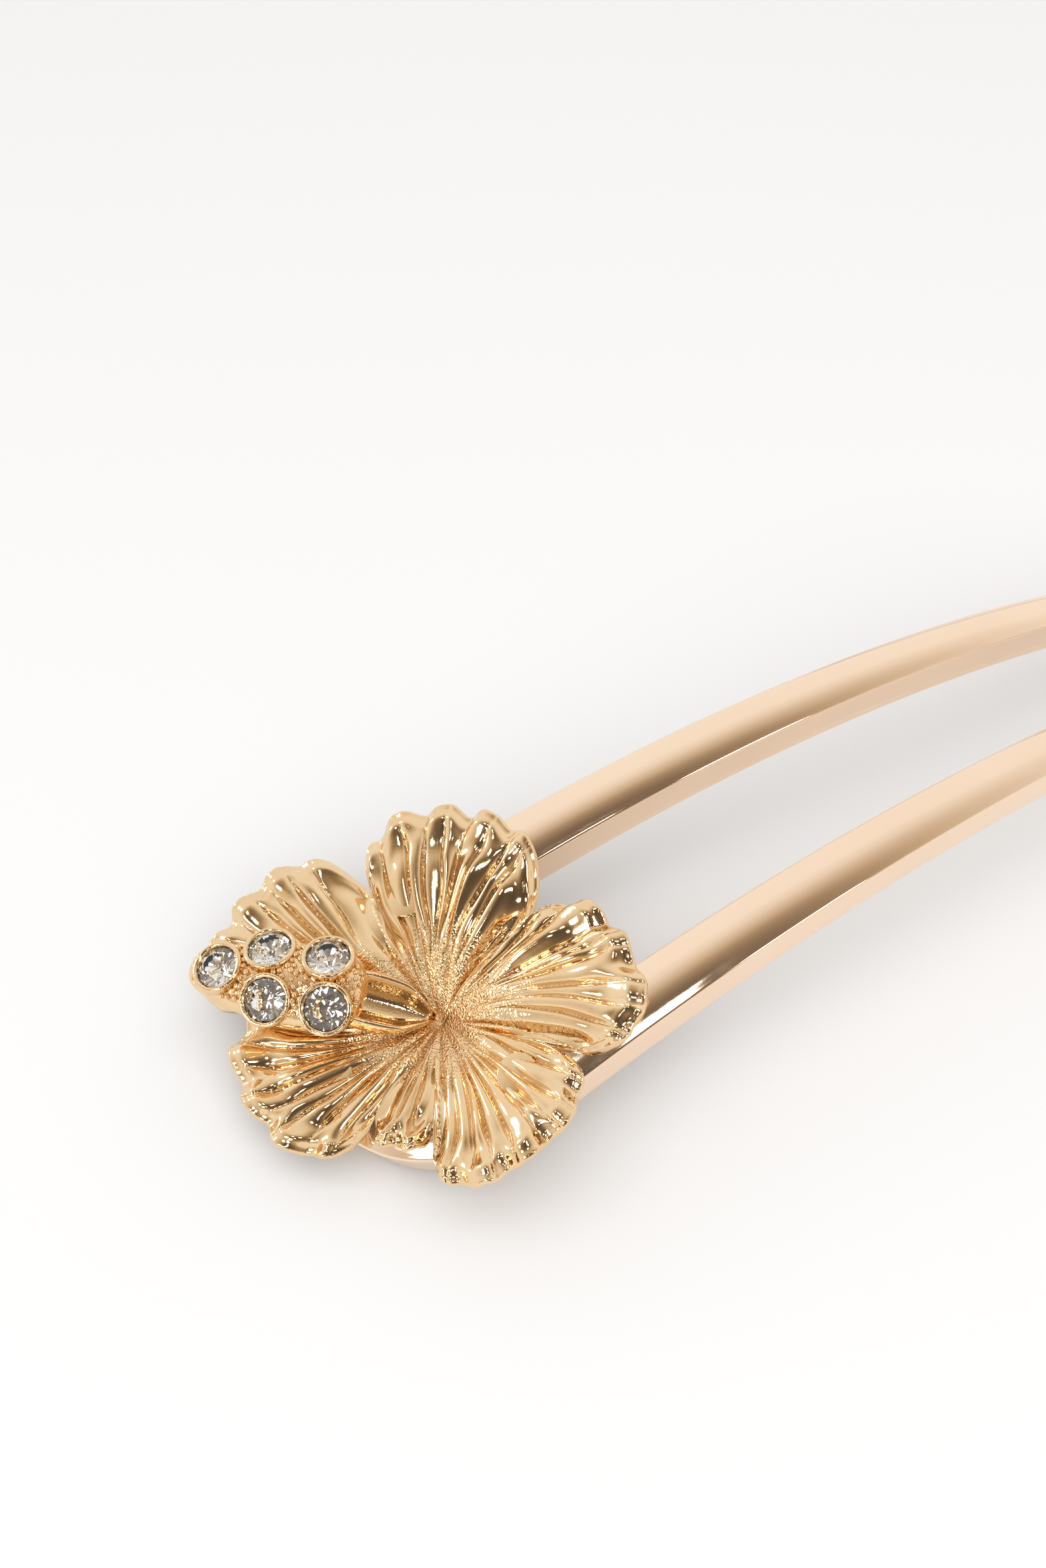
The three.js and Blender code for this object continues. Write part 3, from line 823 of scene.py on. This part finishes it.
def make_stone(name, place, crystal, foil):
    """A round brilliant: the hull of its facet corners, with foil behind the pavilion."""
    bm = bmesh.new()
    half_facet = math.pi / FACETS
    top = GIRDLE + CROWN
    slope = CROWN / (STONE_RADIUS - TABLE_RADIUS)
    crown_height = top - slope * (CROWN_MIDDLE * math.cos(half_facet) - TABLE_RADIUS)
    back_height = -PAVILION + PAVILION / STONE_RADIUS * PAVILION_MIDDLE * math.cos(half_facet)
    rings = [
        (FACETS, TABLE_RADIUS, top, 0.0),
        (FACETS, CROWN_MIDDLE, crown_height, half_facet),
        (2 * FACETS, STONE_RADIUS, GIRDLE, 0.0),
        (2 * FACETS, STONE_RADIUS, 0.0, 0.0),
        (FACETS, PAVILION_MIDDLE, back_height, half_facet),
        (FACETS, CULET, -PAVILION, 0.0),
    ]
    for count, radius, height, turn in rings:
        ring = Matrix.Translation((0, 0, height)) @ Matrix.Rotation(turn, 4, "Z")
        bmesh.ops.create_circle(bm, segments=count, radius=radius, matrix=ring)
    bmesh.ops.convex_hull(bm, input=bm.verts)
    bmesh.ops.dissolve_limit(bm, angle_limit=math.radians(0.5), verts=bm.verts, edges=bm.edges)
    bmesh.ops.recalc_face_normals(bm, faces=bm.faces)
    for face in bm.faces:
        face.material_index = 1 if face.normal.z < -0.05 else 0  # foil on the pavilion
    bmesh.ops.transform(bm, matrix=place, verts=bm.verts)
    piece = finished_piece(name + "_cut_stone", bm, [name + "_stone"], crystal)
    piece.data.materials.append(foil)
    for polygon in piece.data.polygons:
        polygon.use_smooth = False
    return piece


# ---- Studio ----------------------------------------------------------------------------------


FLOOR_HALF_SIZE = 2.0  # metres
CAMERA_SIDE = (-0.31, -0.55, 0.77)  # direction of the unlit part of the room
# How far a direction turns toward the camera's side, and the room's colour there.
ROOM_TONES = (
    (0.0, (1.0, 1.0, 1.0)),
    (0.2, (0.99, 0.985, 0.98)),
    (0.45, (0.87, 0.83, 0.78)),
    (0.66, (0.64, 0.55, 0.44)),
    (0.76, (0.42, 0.34, 0.25)),
    (0.88, (0.22, 0.17, 0.13)),
    (1.0, (0.10, 0.085, 0.07)),
)


def pale_floor():
    finish = Finish("pale_floor")
    finish.tone(scale=2, detail=2, dark=(0.600, 0.610, 0.625), light=(0.615, 0.625, 0.640))
    finish.roughness(finish.patches(scale=40, detail=2, smooth=0.6, rough=0.7))
    bm = bmesh.new()
    bmesh.ops.create_grid(bm, x_segments=4, y_segments=4, size=FLOOR_HALF_SIZE)
    mesh = bpy.data.meshes.new("floor")
    bm.to_mesh(mesh)
    bm.free()
    mesh.materials.append(finish.material)
    floor = bpy.data.objects.new("floor", mesh)
    bpy.context.scene.collection.objects.link(floor)


def studio_world():
    """White paper all round, falling off to a warm dark room on the camera's side."""
    world = bpy.data.worlds.new("studio")
    world.use_nodes = True
    tree = world.node_tree
    background = tree.nodes["Background"]
    direction = tree.nodes.new("ShaderNodeTexCoord").outputs["Generated"]
    toward = tree.nodes.new("ShaderNodeVectorMath")
    toward.operation = "DOT_PRODUCT"
    toward.inputs[1].default_value = CAMERA_SIDE
    ramp = tree.nodes.new("ShaderNodeValToRGB")
    fill_ramp(ramp, ROOM_TONES)
    tree.links.new(direction, toward.inputs[0])
    tree.links.new(toward.outputs["Value"], ramp.inputs["Fac"])
    tree.links.new(ramp.outputs["Color"], background.inputs["Color"])
    background.inputs["Strength"].default_value = 1.0
    bpy.context.scene.world = world


PANEL_DISTANCE = 0.55  # metres from the flower
PANEL_BRIGHTNESS = 7.0  # beside 1 for white paper
# Name, azimuth, elevation and size of each small panel that glints in the metal.
GLINT_PANELS = (
    ("right_panel", -66, 38, 0.12),
    ("left_panel", 186, 34, 0.13),
    ("low_panel", -150, 24, 0.11),
    ("rear_left_panel", 128, 20, 0.11),
    ("camera_side_panel", -96, 66, 0.08),
    ("high_left_panel", -170, 70, 0.08),
    ("camera_panel", -134, 42, 0.07),
)
PAPER_LIGHT = dict(azimuth=-120, elevation=62, distance=0.9, size=1.5, brightness=2.45)


def aimed_lamp(name, azimuth, elevation, distance, size, brightness):
    """A square lamp that faces the flower. Azimuth 0 is beyond the prong tips and 90 is the
    far side."""
    data = bpy.data.lights.new(name, "AREA")
    data.size = size
    data.energy = brightness * math.pi * size**2
    lamp = bpy.data.objects.new(name, data)
    bpy.context.scene.collection.objects.link(lamp)
    turn, lift = math.radians(azimuth), math.radians(elevation)
    away = Vector((math.cos(turn) * math.cos(lift), math.sin(turn) * math.cos(lift), math.sin(lift)))
    lamp.location = FLOWER_FRAME.translation * MM + distance * away
    lamp.rotation_mode = "QUATERNION"
    lamp.rotation_quaternion = (-away).to_track_quat("-Z", "Y")
    return lamp


def glint_panel(name, azimuth, elevation, size):
    """A small bright panel that shows in the metal and the stones, and leaves the floor alone."""
    lamp = aimed_lamp(name, azimuth, elevation, PANEL_DISTANCE, size, PANEL_BRIGHTNESS)
    lamp.visible_diffuse = False


def paper_light():
    """A wide soft light for the floor that the metal and the stones don't show."""
    lamp = aimed_lamp("paper_softbox", **PAPER_LIGHT)
    lamp.visible_glossy = False
    lamp.visible_transmission = False


# The camera stands off the bow's end, turned to one side of the prongs. Its place is given from
# the arch's start, to its own right, up and ahead.
VIEW_ELEVATION = math.radians(50.5)
VIEW_TURN = math.radians(29.64)
CAMERA_PLACE = (13.496, 23.607, -113.36)
SENSOR_WIDTH = 36.0
IMAGE_HEIGHT = 2351
FOCAL_LENGTH_IN_IMAGE = 2356  # in the same units as the height
NEAREST, FARTHEST = 0.005, 10.0  # metres that the camera sees between


def make_camera():
    right = Vector((math.cos(VIEW_TURN), -math.sin(VIEW_TURN), 0))
    level = Vector((math.sin(VIEW_TURN), math.cos(VIEW_TURN), 0))
    up = math.sin(VIEW_ELEVATION) * level + math.cos(VIEW_ELEVATION) * Vector((0, 0, 1))
    ahead = math.cos(VIEW_ELEVATION) * level - math.sin(VIEW_ELEVATION) * Vector((0, 0, 1))
    data = bpy.data.cameras.new("camera")
    data.sensor_width = SENSOR_WIDTH
    data.lens = SENSOR_WIDTH * FOCAL_LENGTH_IN_IMAGE / IMAGE_HEIGHT
    data.clip_start, data.clip_end = NEAREST, FARTHEST
    camera = bpy.data.objects.new("camera", data)
    bpy.context.scene.collection.objects.link(camera)
    to_right, to_up, to_ahead = CAMERA_PLACE
    place = arch_start + to_right * right + to_up * up + to_ahead * ahead
    turn = Matrix((right, up, -ahead)).transposed().to_4x4()
    camera.matrix_world = Matrix.Translation(place * MM) @ turn
    bpy.context.scene.camera = camera


plating = champagne_plating()
bloom = flower_plating()
crystal = clear_crystal()
foil = mirror_foil()
make_fork(plating)
make_flower(bloom)
make_pistil(bloom)
for stone_name, stone_place in STONES.items():
    make_stone(stone_name, stone_place, crystal, foil)
solder = solder_metal()
cement = stone_cement()
for node_name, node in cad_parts.items():
    if node_name.startswith("solder_") or node_name.endswith("_cement"):
        node.data.materials.clear()
        node.data.materials.append(solder if node_name.startswith("solder_") else cement)

pale_floor()
studio_world()
for panel in GLINT_PANELS:
    glint_panel(*panel)
paper_light()
make_camera()
bpy.context.scene.view_settings.view_transform = "Standard"
